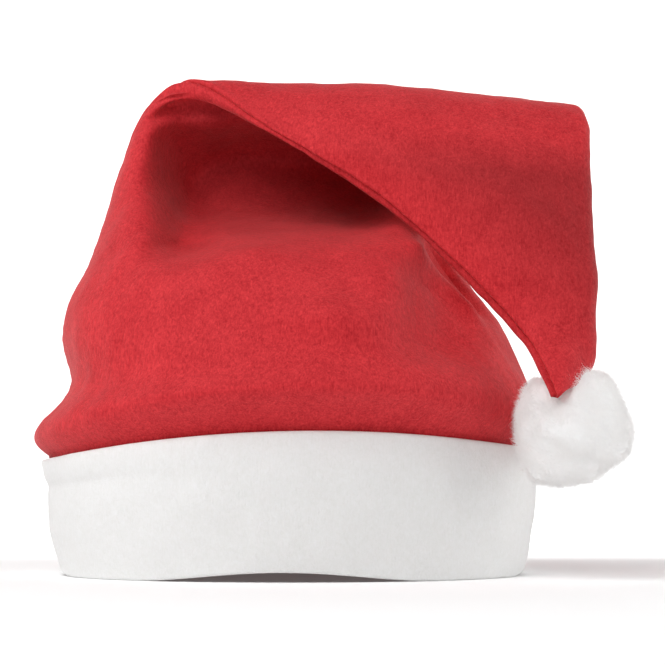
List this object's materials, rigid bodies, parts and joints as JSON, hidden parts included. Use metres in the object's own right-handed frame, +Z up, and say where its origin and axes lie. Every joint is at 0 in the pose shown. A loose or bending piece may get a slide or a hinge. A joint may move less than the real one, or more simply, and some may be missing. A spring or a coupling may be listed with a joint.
{
  "type": "santa hat",
  "caption": "Red felt santa hat with a plain white brim band, folded over at the top, with a white fluffy pompom on its tip.",
  "frame": {"origin": "middle of the whole hat's box, on the surface that its rim rests on", "axes": "+X to the wearer's left, where the tail and the pompom hang, +Y to the back, +Z up"},
  "size_m": [0.2398, 0.1804, 0.2037],
  "materials": {
    "red_felt": "soft matt felt",
    "white_felt": "soft matt felt",
    "white_fluff": "fluffy fibre"
  },
  "bodies": {
    "root": {"crown": "red_felt", "brim_band": "white_felt", "pompom": "white_fluff"}
  },
  "joints": []
}
